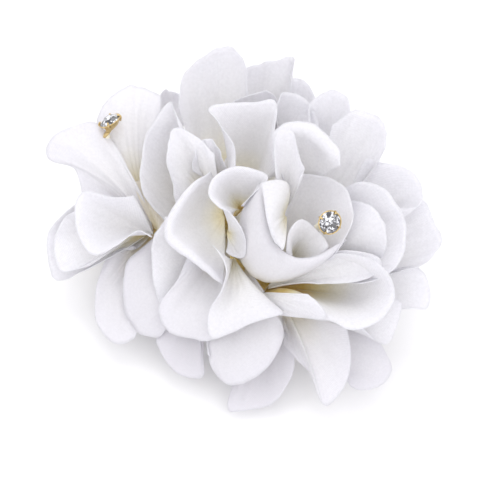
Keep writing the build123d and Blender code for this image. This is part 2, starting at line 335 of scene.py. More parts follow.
class Petal:
    """A petal is a fan of curves from its claw, each through a belly point to a rim point."""

    # dusk: how far the petal's colour is darkened towards lavender grey, as painted shade where it lies in
    # shadow.
    def __init__(self, name, bellies, rims, hub=None, roll=0, band=0.12, wave=0.62, spread=0.35,
                 pale=0.0, deep=0.0, dusk=0.0):
        self.bellies, self.rims, self.hub = bellies, rims, hub
        self.roll, self.band = math.radians(roll), band
        self.wave, self.spread = wave, spread
        self.pale, self.deep, self.dusk = pale, deep, dusk
        self.phase = sum(ord(letter) for letter in name) * 1.7

    def feet(self, collar, axis):
        hub = self.hub or collar
        leaving = []
        for belly in self.bellies:
            away = belly - hub
            leaving.append((away - axis * away.dot(axis)).normalized())
        mean = sum(leaving, Vector()).normalized()
        radius = HUB_RADIUS if self.hub else CLAW_RADIUS
        together = mean * (1 - self.spread)
        return [hub + (way * self.spread + together).normalized() * radius for way in leaving]

    def rows(self, collar, axis):
        feet = self.feet(collar, axis)
        claw_rows = CLAW_ROWS if self.hub else 0
        sheet = []
        for j in range(claw_rows):
            row = []
            for i in range(ACROSS + 1):
                foot = curve_through(feet, i / ACROSS)
                away = foot - collar
                away = (away - axis * away.dot(axis)).normalized() * CLAW_RADIUS
                side = (foot - self.hub) * 0.4
                row.append((collar + away + side).lerp(foot, j / claw_rows))
            sheet.append(row)
        for j in range(ALONG + 1 - claw_rows):
            v = j / (ALONG - claw_rows)
            row = []
            for i in range(ACROSS + 1):
                u = i / ACROSS
                foot, belly, rim = (curve_through(points, u) for points in (feet, self.bellies, self.rims))
                bend = belly * 2 - (foot + rim) * 0.5
                row.append(foot * (1 - v) ** 2 + bend * (2 * v * (1 - v)) + rim * v ** 2)
            sheet.append(row)
        return self.finished(sheet)

    def normal(self, sheet, j, i):
        along = sheet[min(j + 1, ALONG)][i] - sheet[max(j - 1, 0)][i]
        across = sheet[j][min(i + 1, ACROSS)] - sheet[j][max(i - 1, 0)]
        return across.cross(along).normalized()

    def trimmed(self, sheet):
        """The hand-cut rim: a little in and out of the outline."""
        done = []
        for j, row in enumerate(sheet):
            reach = smooth(0.55, 1, j / ALONG)
            line = []
            for i, place in enumerate(row):
                uneven = 0.0
                for share, quick, row_of_noise in ((1.0, 4.5, 3.0), (0.4, 13, 9.0), (0.15, 24, 15.0)):
                    where = Vector((i / ACROSS * quick + self.phase, row_of_noise, 0.0))
                    uneven += share * noise.noise(where)
                away = (place - sheet[max(j - 1, 0)][i]).normalized()
                line.append(place + away * (0.9 * uneven * reach * min(1.0, self.wave * 2)))
            done.append(line)
        return done

    def ruffle(self, u, v):
        """How far the silk stands off its smooth shape, in millimetres."""
        slow = noise.noise(Vector((u * 3.2 + self.phase, v * 1.8, 0.0))) * smooth(0.15, 0.9, v)
        quick = noise.noise(Vector((u * 8.5 + self.phase, v * 2.6, 5.0))) * smooth(0.55, 1, v)
        pleats = noise.noise(Vector((u * 15 + self.phase, v * 0.9, 8.0))) * smooth(0.1, 0.3, v)
        pleats *= 1 - 0.5 * v
        return self.wave * (2.2 * slow + 1.1 * quick) + 0.42 * pleats

    def finished(self, sheet):
        """Trims, rolls and ruffles the silk, and lays it on the table where it reaches that far."""
        sheet = self.trimmed(sheet)
        eye = from_eye(0, 0, 1) - from_eye(0, 0, 0)
        side = -1 if self.normal(sheet, ALONG // 2, ACROSS // 2).dot(eye) < 0 else 1
        flat = int(round((1 - self.band) * ALONG))
        done = []
        for j in range(ALONG + 1):
            row = []
            for i in range(ACROSS + 1):
                place = sheet[j][i]
                up = self.normal(sheet, min(j, flat) if self.roll else j, i) * side
                if self.roll and j > flat:
                    curl = self.roll * max(smooth(0, 0.16, min(i, ACROSS - i) / ACROSS), 0.01)
                    start = sheet[flat][i]
                    length = (sheet[ALONG][i] - start).length
                    way = (sheet[ALONG][i] - start).normalized()
                    angle = curl * (j - flat) / (ALONG - flat)
                    place = start + way * (length * math.sin(angle) / curl)
                    place -= up * (length * (1 - math.cos(angle)) / curl)
                place = place + up * self.ruffle(i / ACROSS, j / ALONG)
                if place.z < TABLE + TABLE_REACH:
                    place.z = TABLE + math.log(1 + math.exp(place.z - TABLE))
                row.append(place)
            done.append(row)
        return done

    def cloth(self, i, j, lengths, opening):
        """Where a point lies on the flat silk, in millimetres."""
        reach = lengths[i] * j / ALONG
        turn = opening * (i / ACROSS - 0.5)
        return reach * math.sin(turn), reach * math.cos(turn)


def sew_petal(shape, petal, sheet, layers):
    """Adds a petal's faces, with its shading values and its place on the flat silk."""
    cloth, along, deep, dusk = layers
    lengths = []
    for i in range(ACROSS + 1):
        lengths.append(sum((sheet[j + 1][i] - sheet[j][i]).length for j in range(ALONG)))
    middle = sheet[ALONG // 2]
    girth = sum((middle[i + 1] - middle[i]).length for i in range(ACROSS))
    opening = girth / max(lengths[ACROSS // 2] * 0.5, 1)
    grid = []
    for j, row in enumerate(sheet):
        line = []
        for place in row:
            corner = shape.verts.new(place)
            corner[along] = petal.pale + (1 - petal.pale) * j / ALONG
            corner[deep] = petal.deep
            # The petal's painted shade, which the silk material reads.
            corner[dusk] = petal.dusk
            line.append(corner)
        grid.append(line)
    for j in range(ALONG):
        for i in range(ACROSS):
            face = shape.faces.new((grid[j][i], grid[j][i + 1], grid[j + 1][i + 1], grid[j + 1][i]))
            for loop, (di, dj) in zip(face.loops, ((0, 0), (1, 0), (1, 1), (0, 1))):
                loop[cloth].uv = petal.cloth(i + di, j + dj, lengths, opening)


def sew_collar(shape, collar, axis, along):
    """Adds the ring of silk round the stem that the petals of a layer grow from."""
    across, beyond = ring_frame(axis)
    rings = []
    for radius in COLLAR_RINGS:
        ring = []
        for step in range(COLLAR_STEPS):
            turn = 2 * math.pi * step / COLLAR_STEPS
            way = across * math.cos(turn) + beyond * math.sin(turn)
            place = collar + way * radius + axis * (0.12 * math.sin(5 * turn + radius))
            corner = shape.verts.new(place)
            corner[along] = 0.05
            ring.append(corner)
        rings.append(ring)
    for inner, outer in zip(rings, rings[1:]):
        for step in range(COLLAR_STEPS):
            after = (step + 1) % COLLAR_STEPS
            shape.faces.new((inner[step], outer[step], outer[after], inner[after]))


def silk_layer(flower, layer, petals):
    """One stamped layer: a collar round the stem and its petals, joined in one mesh."""
    root, axis = FLOWERS[flower]
    collar = root + axis * COLLAR_HEIGHTS[layer]
    shape = bmesh.new()
    cloth = shape.loops.layers.uv.new("cloth")
    along = shape.verts.layers.float.new("along")
    deep = shape.verts.layers.float.new("deep")
    dusk = shape.verts.layers.float.new("dusk")
    for petal in petals:
        sew_petal(shape, petal, petal.rows(collar, axis), (cloth, along, deep, dusk))
    sew_collar(shape, collar, axis, along)
    mesh = bpy.data.meshes.new(f"{flower}_{layer}_silk")
    shape.to_mesh(mesh)
    shape.free()
    made = piece(f"{flower}_{layer}_silk", mesh, SILK, f"{flower}_{layer}_petals")
    thick = made.modifiers.new("thickness", "SOLIDIFY")
    thick.thickness = SILK_THICKNESS * MM
    thick.offset = 0.0


def seen(name, rays, hub=None, **shape):
    """A petal laid out as it looks from the eye: each ray is a belly point and a rim point."""
    bellies = [from_eye(*ray[:3]) for ray in rays]
    rims = [from_eye(*ray[3:]) for ray in rays]
    return Petal(name, bellies, rims, hub and from_eye(*hub), **shape)


# Across a petal: how far to the side, and the share of its length reached there.
SPREAD_OUTLINE = ((-1, 0.55), (-0.95, 0.84), (-0.5, 1.0), (0.1, 1.03), (0.6, 0.98), (1, 0.8), (0.98, 0.5))
SPREAD_STEPS = 10


def spread(name, flower, layer, turn, lean_claw, lean_tip, length, width, **shape):
    """A petal by its turn about the stem, its lean at the claw and the tip, and its size."""
    root, axis = FLOWERS[flower]
    across, beyond = ring_frame(axis)
    bellies, rims = [], []
    for side, reach in SPREAD_OUTLINE:
        way = math.radians(turn)
        out = across * math.cos(way) + beyond * math.sin(way)
        sideways = axis.cross(out)
        place = root + axis * COLLAR_HEIGHTS[layer] + out * CLAW_RADIUS
        for points, until in ((bellies, 0.5), (rims, 1.0)):
            for step in range(SPREAD_STEPS):
                gone = until - 0.5 + 0.5 * (step + 0.5) / SPREAD_STEPS
                lean = math.radians(lean_claw + (lean_tip - lean_claw) * gone)
                ahead = axis * math.cos(lean) + out * math.sin(lean)
                place = place + ahead * (length * reach * 0.5 / SPREAD_STEPS)
            share = 0.42 if until == 0.5 else 0.5
            hollow = (axis * math.sin(lean) - out * math.cos(lean)) * (side ** 2 * width * 0.12)
            points.append(place + sideways * (side * width * share) + hollow)
    return Petal(name, bellies, rims, **shape)


# ---------------------------------------------------------------- the layers of the flowers
silk_layer("left_flower", "outer", [
    seen("l_back", [
        (-25, 35, 0, -25, 48, 4), (-24, 37, -1, -23.5, 53, 5), (-22, 38, -1, -21, 55, 5),
        (-20, 36, 0, -18, 53, 5), (-19, 32, 1, -17, 46, 5),
    ]),
    seen("l_low", [
        (-35, 22, 12, -44, 25, 14), (-38, 20, 11, -50, 20.5, 14), (-39, 17, 11, -55, 14, 13),
        (-38, 13, 12, -54.5, 6, 14), (-36, 11, 13, -52, 1.5, 15), (-33, 11, 14, -45, 4, 17),
        (-29, 13, 15, -37, 8, 18),
    ]),
    seen("l_foot", [
        (-28, 12, 14, -31, 11, 15), (-32, 11, 14, -38, 8, 15), (-34, 7, 15, -41.3, -1, 17),
        (-34, 4, 16, -41, -9.5, 19), (-32, 2, 17, -36.5, -16, 22), (-29, 2, 18, -31, -15, 23),
        (-26, 4, 18, -28, -8, 23),
    ], dusk=0.35),
    spread("l_rear", "left_flower", "outer", 90, 82, 104, 34, 22),
    spread("l_rear_side", "left_flower", "outer", 132, 80, 98, 32, 20),
])
silk_layer("left_flower", "middle", [
    seen("l_top", [
        (-34.5, 31, 20, -41.5, 44.5, 14), (-34, 36, 19.5, -39, 51, 13.5), (-32, 38, 19, -33.5, 55.5, 13),
        (-29.5, 37, 17, -28, 55.6, 12), (-27.5, 34, 16, -23, 52.5, 12), (-26, 28, 17, -23.5, 42, 14),
    ], hub=(-25.6, 15.5, 17), pale=-0.25, dusk=0.12),
    seen("l_scoop", [
        (-27.5, 19.5, 24, -30.6, 25, 28.5), (-33, 20.5, 22, -37, 24.3, 28),
        (-36, 20, 20, -45.5, 25.3, 26), (-37, 17, 19, -46.3, 16, 25), (-35, 14.5, 20, -42.5, 9.2, 25),
        (-32, 14, 22, -36, 11.6, 27), (-28.5, 14.5, 23, -30, 15.6, 28),
        (-26, 14.5, 23, -25.5, 13.4, 27.5),
    ], hub=(-24.6, 15.2, 19), pale=0.45, roll=30, wave=0.25),
    seen("l_low_2", [
        (-35, 20, 16, -45, 22, 18), (-38, 18, 15, -50, 19, 18), (-38, 15, 15, -53, 12, 17),
        (-36, 12, 16, -51, 4, 18), (-33, 12, 16, -43, 6, 19),
    ]),
])
silk_layer("left_flower", "inner", [
    seen("l_wing", [
        (-29.4, 27.8, 23, -37.2, 41, 20), (-32.5, 31, 22.5, -41.6, 45.6, 18.5),
        (-36, 32, 21.5, -46, 45, 18), (-38, 31, 22, -53, 41.5, 16), (-38, 29, 21, -54, 36.5, 15),
        (-36.5, 26.5, 20, -47.5, 33.5, 17), (-34.5, 24, 19, -45, 26, 17), (-31, 21, 20, -40, 21, 18),
    ], hub=(-25.2, 15.5, 18), pale=0.35, roll=-25, wave=0.35, dusk=0.2),
    spread("l_rear_inner", "left_flower", "inner", 100, 34, 44, 23, 18),
])
silk_layer("left_flower", "heart", [
    seen("l_throat", [
        (-27.5, 21, 21, -30.5, 28, 22), (-26.5, 22, 21.5, -28.5, 30.5, 21),
        (-25.3, 21, 21.5, -26.5, 27, 21), (-23.5, 18, 21, -22.5, 20, 21), (-23, 15, 20.5, -21.5, 14, 21),
        (-24.5, 13, 20, -25, 10.5, 21),
    ], hub=(-24.4, 14.5, 17.5), deep=0.3),
    spread("l_heart", "left_flower", "heart", 150, 8, 20, 15, 12),
])
silk_layer("middle_flower", "outer", [
    seen("m_back_right", [
        (6, 36, 2, 10, 56, 3), (9, 36, 1, 14, 58.5, 4), (12, 35, 2, 18, 56.5, 6),
        (13, 32, 4, 20.5, 52, 7), (12, 28, 6, 19, 42, 8),
    ]),
    seen("m_low_left", [
        (-15, 16, 18, -24, 14, 19), (-18, 12, 20, -31, 7.5, 20), (-18, 7, 22, -33.5, 1, 21),
        (-17, 3, 24, -33, -7, 22), (-15, 1, 25, -29, -13, 23), (-13, 0, 26, -23, -14, 25),
        (-10, 1, 26, -19, -8, 27),
    ], dusk=0.4),
    seen("m_foot_left", [
        (-13, 0, 20, -21, -10, 23), (-14, -2, 21, -24.5, -15, 24), (-14, -4, 21, -21, -22, 25),
        (-12, -5, 21, -14.5, -25.7, 26), (-10, -5, 22, -11, -25, 27), (-9, -4, 23, -12, -15, 28),
    ], dusk=0.6),
    seen("m_foot", [
        (-8, 0, 26, -9, -13, 31), (-9, -3, 27, -10, -21, 31), (-7, -6, 28, -5, -27.5, 32),
        (-3, -6, 29, 1, -27, 33), (1, -4, 30, 8, -21.5, 34), (3, -1, 31, 11.5, -13, 34),
        (3, 3, 30, 10, -7, 33),
    ], roll=12, dusk=0.35),
    spread("m_rear", "middle_flower", "outer", 75, 76, 104, 38, 24),
    spread("m_rear_right", "middle_flower", "outer", 108, 80, 112, 38, 22),
    spread("m_rear_left", "middle_flower", "outer", 138, 78, 100, 34, 20),
])
silk_layer("middle_flower", "middle", [
    seen("m_top_right", [
        (-1, 40, 2, -2, 60, 5), (2, 42, 0, 5, 62.5, 6), (4, 42, 0, 9, 63.3, 8), (7, 41, 1, 13.6, 64.2, 9),
        (9, 38, 3, 13.3, 60, 8), (9, 34, 4, 13, 50, 6),
    ], wave=0.7),
    seen("m_left_mid", [
        (-12, 17, 23, -21.8, 19.5, 26), (-14, 13, 23, -24.8, 14.5, 27), (-14, 9, 23, -25.5, 8, 27),
        (-14, 5, 23.5, -25, 1, 26.5), (-12.5, 1, 24, -22.5, -6, 26), (-9, 1, 24, -16, -7, 27),
    ], pale=0.2),
    seen("m_skirt", [
        (-9, 10, 27, -15.5, 8.5, 31), (-11, 8, 28, -19, 1, 31), (-12, 5, 28, -23.5, -6, 30),
        (-12, 2, 28, -21.5, -12, 30), (-9, 0, 29, -15, -14.5, 31), (-6, 0, 30, -8, -14.8, 33),
        (-4, 2, 31, -4, -8, 35),
    ], pale=0.15, dusk=0.3),
])
silk_layer("middle_flower", "inner", [
    seen("m_top", [
        (-12, 33, 9, -18, 50, 12), (-11, 39, 6, -16.5, 59.5, 13), (-8, 42, 5, -11, 64.7, 14),
        (-5, 43, 4, -5, 67.2, 13), (-2, 41, 5, 0, 63.5, 12), (0, 37, 8, 1.5, 53, 11),
    ]),
    seen("m_left_wing", [
        (-12, 15, 24, -22, 17.5, 24), (-17, 18, 20, -28, 26, 25), (-18, 24, 17, -29.3, 33, 26),
        (-17, 30, 16, -27, 42.5, 27), (-13, 34, 17, -20, 51.5, 28), (-9, 34, 22, -18.5, 44, 28),
    ]),
    seen("m_cup", [
        (-7, 27, 27, -9, 32, 33), (-10, 25, 26, -14, 27.5, 34), (-12.5, 21, 26, -18.8, 21, 36),
        (-13, 17, 26, -21, 14, 37), (-11, 13, 27, -14.5, 9, 38), (-8, 10, 28, -9.7, 5.2, 38),
        (-5, 9, 28, -5.8, 0.3, 37.5),
    ], hub=(-4.5, 20, 24), roll=110, band=0.09, wave=0.12),
    seen("m_fan", [
        (-4.6, 8, 34, -8.6, 11.3, 38), (-4.2, 6, 36, -6, 8.4, 41), (-4.2, 4, 37, -4.7, 4, 41),
        (-4.6, 1.5, 36, -6, -1.5, 39.5), (-5.2, -1, 35, -9.3, -7.5, 38),
        (-4.6, -3.2, 35.5, -9.2, -14.5, 37), (-2.2, -3.6, 37, -4, -13.4, 39),
        (0.6, -2.6, 38, 3, -10.3, 40.5), (2.5, 0, 37, 11, -7.8, 39), (2.5, 1.3, 34.5, 10.6, -6.8, 37),
    ], hub=(-2.8, 8.5, 27), roll=25, spread=1.0, wave=0.12, pale=0.15),
])
silk_layer("middle_flower", "heart", [
    seen("m_right", [
        (1, 33, 12, 7.5, 46, 18), (3, 36, 10, 10, 53.3, 17), (6, 37, 9, 14, 54, 16),
        (8, 35, 10, 19, 50, 16), (9, 32, 12, 21, 44, 17), (8, 28, 14, 18, 36, 18),
    ]),
    seen("m_front", [
        (-5, 27, 23, -1.5, 32, 27), (-4, 31, 22, -2.5, 40, 27), (-4, 33, 20, -6.5, 46, 27),
        (-3, 35, 18, -9, 50, 25), (-1, 36, 16, -3, 51, 24), (2, 36, 15, 3, 50.8, 24),
        (4, 34, 16, 8.8, 51.8, 23), (4, 31, 18, 8, 42, 25), (4, 28, 20, 9.5, 31, 27),
    ], roll=20),
    seen("m_shade", [
        (-3, 40, 13, -4.5, 48.5, 17), (-1, 42, 11, -2.2, 51.8, 17), (2, 43, 10, 2, 53.6, 16),
        (5, 43, 10, 6.5, 54.4, 15.5), (7, 41, 10, 9.4, 52.4, 14.5), (8, 38, 12, 8.5, 47, 14),
    ], dusk=0.1, wave=0.2),
    seen("m_nest", [
        (-11, 22, 23, -18.5, 22, 26), (-13, 25, 24, -19.5, 28, 28), (-14, 28, 25, -21.5, 35, 31),
        (-14, 31, 25, -21, 41, 31), (-12, 32, 25, -18.5, 44.5, 30), (-10, 31, 27, -12.5, 41.5, 31),
        (-7, 29, 28, -8, 37, 31),
    ]),
    seen("m_curl", [
        (-10, 29, 23, -14, 32, 28), (-10, 31, 23, -13.4, 38, 29.5), (-8.5, 31.5, 23, -10.6, 41.3, 30.5),
        (-6.5, 31, 23, -7, 38.8, 30), (-4.8, 29, 23, -4.6, 33.5, 28),
    ], wave=0.9),
    seen("m_neck", [
        (-4.5, 18, 31, -5.8, 22, 36.5), (-3.2, 17, 33, -3.2, 20.2, 39.5), (-2, 15, 34, -0.5, 16, 40),
        (-1.6, 13, 34, 0.8, 12.3, 39.5), (-2, 11, 33, 0.3, 8.2, 37.5), (-3.2, 11, 31, -2.6, 8.2, 34.5),
        (-4.2, 12, 29, -4.8, 9.5, 31),
    ], hub=(-4.6, 15.5, 27), spread=1.0, wave=0.05),
    seen("m_tongue", [
        (-2.5, 21, 33, -3.1, 20.4, 39.6), (-4.5, 22.5, 32, -6.2, 22.6, 40.5), (-5, 24, 31, -9, 26.6, 40),
        (-4, 26, 30, -6.8, 30.9, 38), (-2, 26.5, 29, -2, 33, 36), (1, 26, 29, 3, 32.2, 36),
        (3, 25.5, 30, 6.3, 30.4, 36.5), (2.5, 24, 31, 3, 26.8, 37), (0.5, 22, 32, -0.6, 22.5, 38),
    ], hub=(-0.5, 22, 26), spread=1.0, roll=40, band=0.1, wave=0.1),
])
silk_layer("right_flower", "outer", [
    seen("r_back", [
        (14, 20, 14, 19.5, 45, 17), (16, 24, 12, 20, 52, 17), (18, 26, 11, 25, 55.2, 17),
        (20, 25, 11, 29, 53, 18), (21, 22, 13, 31, 47, 20),
    ]),
    seen("r_far", [
        (22, 16, 17, 34, 35, 22), (24, 15, 16, 39, 34.8, 22), (27, 13, 16, 46, 33, 22),
        (29, 11, 17, 50, 27.5, 23), (27, 9, 19, 48.5, 22.5, 25), (24, 8, 21, 43, 22, 26),
    ]),
    seen("r_side", [
        (24, 10, 17, 44, 24, 20), (27, 9, 16, 50, 24.5, 20), (30, 7, 16, 53.5, 18, 21),
        (31, 4, 17, 55.3, 12, 22), (29, 2, 19, 51.5, 6.5, 24), (26, 1, 21, 44, 4.5, 26),
    ]),
    seen("r_side_low", [
        (23, 3, 21, 40, 4, 24), (26, 1, 20, 48, 5.8, 23), (29, -1, 20, 52, 1, 23),
        (28, -3, 21, 51.8, -6, 25), (25, -4, 23, 45.5, -7, 27), (22, -3, 25, 40, -4, 28),
    ]),
    seen("r_foot_right", [
        (19, -7, 22, 28, -12, 26), (21, -7, 23, 33.5, -11, 28), (23, -10, 25, 40, -19, 30),
        (23, -13, 26, 41.8, -24.5, 31), (21, -15, 27, 37, -28.4, 33), (19, -14, 26, 30, -28, 31.5),
        (17, -11, 26, 27, -20, 30),
    ], dusk=0.4),
    seen("r_foot_left", [
        (4, -10, 23, -2.5, -20, 26), (3, -13, 24, -3, -28, 27), (3, -16, 25, -4, -35.3, 29),
        (5, -16, 25, 3, -34.5, 29), (8, -15, 25, 9.5, -32, 30), (10, -13, 25, 14, -23, 30),
        (10, -9, 25, 12, -13, 29),
    ], dusk=0.55),
    spread("r_rear", "right_flower", "outer", 98, 78, 98, 40, 24),
    spread("r_rear_right", "right_flower", "outer", 60, 76, 92, 40, 22),
])
silk_layer("right_flower", "middle", [
    seen("r_back_right", [
        (17, 20, 18, 25, 45, 22), (19, 22, 16, 31, 49.3, 22), (22, 22, 15, 37, 47.8, 22),
        (24, 20, 15, 40, 43, 23), (23, 17, 17, 38, 35, 24),
    ]),
    seen("r_big", [
        (17, 15, 21, 27, 27, 26.5), (21, 15, 22.5, 34, 29.3, 31), (24, 13, 25, 41, 25.8, 33),
        (26, 10, 26, 45, 18, 33), (26, 6, 27, 45.2, 10, 34), (24, 3, 29, 41, 4, 36),
        (20, 2, 31, 33, 1, 38),
    ]),
    seen("r_low_side", [
        (22, -2, 26, 38, -3, 30), (25, -3, 25, 44, -4, 28), (26, -6, 26, 43.5, -10, 29),
        (24, -8, 27, 39.5, -17, 31), (20, -7, 29, 33, -11, 33),
    ]),
    seen("r_foot", [
        (11, -9, 26, 11, -16, 29), (12.5, -11.5, 27, 15, -20.5, 31), (14, -13, 29, 18.7, -24.5, 33),
        (15.3, -13.2, 33.5, 20.2, -28.5, 36.5), (16.5, -14, 32.5, 23.3, -33.6, 35.5),
        (19, -13, 32, 28.5, -28, 36), (20, -11, 32, 30.3, -20, 36), (19, -7, 31, 29, -11, 34),
    ], wave=0.1, dusk=0.3),
])
silk_layer("right_flower", "inner", [
    seen("r_big_2", [
        (17, 13, 22, 25, 22, 27), (20, 14, 25, 31, 24, 32), (23, 12, 30, 36, 22, 37),
        (25, 9, 32, 39.7, 17, 38), (25, 7, 29, 40, 10, 35), (23, 7, 28, 37, 6.5, 32),
        (19, 7, 27, 30, 7, 30),
    ], pale=0.3),
    # r_lip's pale below nought carries its cream far out along the petal: partly its cream colour, partly
    # painted shade that darkens the channel in its funnel.
    seen("r_lip", [
        (13, 3.4, 33, 20, 7.5, 40), (18, 4.6, 33, 28.5, 9, 41), (22, 2.8, 30, 38.3, 6, 40.5),
        (22.5, -0.4, 25, 42.4, -1, 38.5), (21.5, -2.2, 26, 40.4, -7.5, 41), (19.5, -3, 32, 36, -11, 43),
        (17.3, -2.6, 37, 30.5, -12.4, 44), (15, -1.9, 39, 25, -10, 44), (11.2, -4.1, 36.5, 20, -9.4, 39),
        (7.6, -4.4, 33, 10.6, -8.2, 34),
    ], hub=(6, -0.8, 26), spread=1.0, wave=0.12, pale=-0.8),
    seen("r_front", [
        (11, -1.9, 39.5, 18.2, -2.3, 43), (11.5, -2.8, 39.5, 20.5, -4.2, 44.5),
        (11.5, -3.8, 39, 22.8, -6.8, 45), (10.5, -4.6, 38, 22.5, -9.2, 43), (9, -4.9, 36.5, 17, -8, 40),
        (7.6, -4.2, 35, 11.5, -6.7, 37),
    ], hub=(5.2, -1, 33), spread=1.0, wave=0.1, pale=0.35, dusk=0.08),
    seen("r_wedge", [
        (12.5, 4.5, 36, 21, 9, 40), (17, 5, 37, 30, 10, 39), (20, 3.8, 37, 38, 8, 37),
        (20, 2.2, 37, 38, 4, 36), (18, 1.1, 37.5, 32, 1.2, 38), (13.5, 0.6, 36.5, 21, 0.6, 39.5),
    ], hub=(6.4, 0, 31), spread=1.0, wave=0.12, pale=0.25),
])
silk_layer("right_flower", "heart", [
    seen("r_cup", [
        (3, 22, 30, 5.5, 28.8, 37), (-0.6, 18, 31, 6.6, 23.5, 42), (-1.5, 11, 32, 7.6, 17.5, 45.5),
        (0.9, 5.2, 34, 9.6, 12.2, 47.5), (5.6, 1.6, 36, 14, 8.6, 48), (11, 1.4, 37, 19, 7.3, 47),
        (17, 3.5, 36, 24.5, 9.2, 44), (21, 6, 33, 29, 13, 39),
    ], roll=140, band=0.07, wave=0.1, pale=-0.3, dusk=0.35),
    seen("r_flare", [
        (12.6, 28.8, 37, 4.9, 28.9, 38.6), (11.4, 25, 40, 5.8, 24, 43), (9.6, 20, 43.5, 6.8, 18, 47),
        (9.8, 15.5, 46, 8.6, 12.8, 48.8), (11.8, 12, 47.4, 10.8, 10.2, 49.2),
    ], hub=(12.4, 20, 33), spread=1.0, wave=0.1, pale=0.1),
    seen("r_fold", [
        (14, 6, 38, 11.8, 6.5, 42), (13.4, 10, 37.5, 12.6, 14.5, 42), (15.5, 13, 37.5, 16, 18.6, 42),
        (18, 12.5, 38.5, 20.3, 16.2, 42), (19.5, 9, 39, 23.6, 11.8, 41.5), (18, 6, 38.5, 24, 7.5, 40),
    ], wave=0.12, pale=0.2),
    seen("r_throat", [
        (0, 6, 25, -3.5, 9, 28), (0, 4, 25, -3.5, 4, 28), (3, 2, 25, 1, -1.5, 28), (5, 1, 25, 8, -6, 28),
        (7, 0.5, 25, 12.5, -5, 28),
    ], hub=(4, 5, 22), deep=1.0),
    seen("r_wall", [
        (10.4, 15, 30, 14.8, 28.8, 32.5), (12.6, 20, 26, 15.4, 30.4, 31), (15, 21, 25, 18.5, 31.5, 30),
        (18, 20, 25.5, 25, 30, 31.5), (20, 17, 28, 29.7, 25, 36), (21, 12, 31, 30.3, 17, 41),
        (18, 7, 34, 25, 7, 40),
    ], pale=0.4, wave=0.35),
    seen("r_hood", [
        (9, 22, 27, 11.2, 30, 34), (9, 27, 26, 11.2, 38, 34.5), (9.5, 30, 25, 11.2, 43.4, 35),
        (12, 31, 24, 17, 44.5, 36), (16, 29, 24, 23, 40.5, 37), (18, 25, 24, 27.3, 33.5, 36),
    ], roll=100, band=0.13),
    seen("r_flap", [
        (10.8, 26, 34, 9, 30.5, 37), (10.6, 29, 34, 8.8, 37, 37.5), (11, 31, 33.5, 9.4, 42.6, 37.3),
        (12, 32, 33.5, 11.4, 44.3, 37.3), (13.2, 31.5, 34, 14.2, 43, 37.6),
        (13.8, 30, 34.5, 15, 39.3, 38.3), (14.2, 28, 35, 15.8, 35.8, 38.7), (14.6, 26.5, 35, 17, 33, 39),
        (14, 25, 34.5, 15.6, 30.3, 38.5),
    ], hub=(12.4, 21, 30), spread=1.0, wave=0.2, pale=0.3),
])


# ---------------------------------------------------------------- turned and swept meshes
def turned(profile, steps=64, ripple=0.0):
    """A mesh turned about Z from (radius, height) points, closed where the radius is nought."""
    shape = bmesh.new()
    rings = []
    for radius, height in profile:
        if radius == 0:
            rings.append([shape.verts.new((0, 0, height))])
            continue
        ring = []
        for step in range(steps):
            turn = 2 * math.pi * step / steps
            lump = 1 + ripple * noise.noise(Vector((math.cos(turn) * 1.7, math.sin(turn) * 1.7, height)))
            size = radius * lump
            ring.append(shape.verts.new((size * math.cos(turn), size * math.sin(turn), height)))
        rings.append(ring)
    for lower, upper in zip(rings, rings[1:]):
        for step in range(steps):
            after = (step + 1) % steps
            if len(lower) == 1:
                shape.faces.new((lower[0], upper[after], upper[step]))
            elif len(upper) == 1:
                shape.faces.new((lower[step], lower[after], upper[0]))
            else:
                shape.faces.new((lower[step], lower[after], upper[after], upper[step]))
    return shape


def swept(path, radius, sides=12, swell=None):
    """A round bar along a path of points; swell gives the radius's change at a length and a turn."""
    shape = bmesh.new()
    rings = []
    side = None
    length = 0.0
    for index, place in enumerate(path):
        ahead = (path[min(index + 1, len(path) - 1)] - path[max(index - 1, 0)]).normalized()
        if side is None:
            side = ahead.orthogonal().normalized()
        side = (side - ahead * side.dot(ahead)).normalized()
        other = ahead.cross(side)
        if index:
            length += (place - path[index - 1]).length
        ring = []
        for step in range(sides):
            turn = 2 * math.pi * step / sides
            size = radius + (swell(length, turn) if swell else 0.0)
            ring.append(shape.verts.new(place + (side * math.cos(turn) + other * math.sin(turn)) * size))
        rings.append(ring)
    for lower, upper in zip(rings, rings[1:]):
        for step in range(sides):
            after = (step + 1) % sides
            shape.faces.new((lower[step], lower[after], upper[after], upper[step]))
    shape.faces.new(rings[0][::-1])
    shape.faces.new(rings[-1])
    return shape


def to_mesh(shape, name):
    bmesh.ops.recalc_face_normals(shape, faces=shape.faces)
    mesh = bpy.data.meshes.new(name)
    shape.to_mesh(mesh)
    shape.free()
    return mesh


def join(shape, other):
    """Adds another shape's faces to a shape."""
    mesh = to_mesh(other, "joined")
    shape.from_mesh(mesh)
    bpy.data.meshes.remove(mesh)


# ---------------------------------------------------------------- stones, cups and stems
STONES = {
    "right_flower": (Vector((23.5, -10.8, 46.2)), Vector((0.32, -0.70, 0.64)).normalized()),
    "left_flower": (Vector((-37.7, 25.6, 44.8)), Vector((-0.43, 0.38, 0.82)).normalized()),
}
STONE_RADIUS = 3.12
STONE_ABOVE_STEM = 3.6
STEM_STRAIGHT = 14.5
FELT_TOP = 12.2
